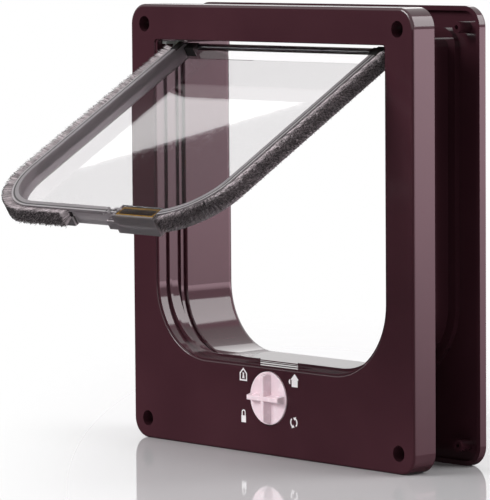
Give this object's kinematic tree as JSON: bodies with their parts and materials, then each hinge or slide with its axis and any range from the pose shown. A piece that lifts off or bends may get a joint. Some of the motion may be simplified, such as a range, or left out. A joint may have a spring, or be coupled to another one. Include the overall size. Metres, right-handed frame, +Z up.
{
  "type": "cat flap",
  "caption": "Locking cat flap for a door: clear swinging flap with a brush seal, telescoping tunnel, brown inside and outside frames, and a round lock knob.",
  "frame": {"origin": "centre of the four fixing holes, on the face of the inside frame that bears on the door", "axes": "+Y from the room to the outside, through the door; +Z up; +X to the right seen from the room"},
  "size_m": [0.234, 0.191, 0.252],
  "materials": {
    "frame_plastic": "glossy dark red-brown moulding",
    "clear_plastic": "polished clear moulding",
    "pile": "dark grey woven pile",
    "pile_backing": "dark woven backing",
    "black_plastic": "satin black moulding",
    "natural_acetal": "natural whitish moulding",
    "steel": "plain bright steel",
    "gold_magnet": "yellow plated magnet",
    "steel_magnet": "nickel plated magnet",
    "knob_plastic": "pale pink glossy moulding"
  },
  "bodies": {
    "inside": {"inside_frame": "frame_plastic", "hinge_bearing_left": "natural_acetal", "hinge_bearing_right": "natural_acetal", "lock_cover": "black_plastic", "lock_cover_screws": "steel", "detent_spring": "steel", "sill_magnet": "steel_magnet", "sill_magnet_cap": "black_plastic"},
    "flap": {"flap_panel": "clear_plastic", "pile_strip_left": "pile", "pile_strip_right": "pile", "pile_backing_left": "pile_backing", "pile_backing_right": "pile_backing", "hinge_clip_left": "black_plastic", "hinge_clip_right": "black_plastic", "hinge_rod": "steel", "flap_magnet": "gold_magnet", "magnet_cover": "clear_plastic"},
    "lock": {"lock_knob": "knob_plastic", "lock_barrel": "natural_acetal", "knob_screw": "steel"},
    "outside": {"outside_frame": "frame_plastic"}
  },
  "joints": [
    {"name": "flap_swing", "type": "hinge", "parent": "inside", "child": "flap", "pos_m": [0, -0.001, 0.1012], "axis": [1, 0, 0], "range_deg": [-21.1, 138.9]},
    {"name": "lock_knob_turn", "type": "hinge", "parent": "inside", "child": "lock", "pos_m": [0, -0.016, -0.0936], "axis": [0, -1, 0], "range_deg": [0, 270]},
    {"name": "tunnel_telescope", "type": "slide", "parent": "inside", "child": "outside", "axis": [0, 1, 0], "range_m": [-0.0022, 0.014]}
  ]
}
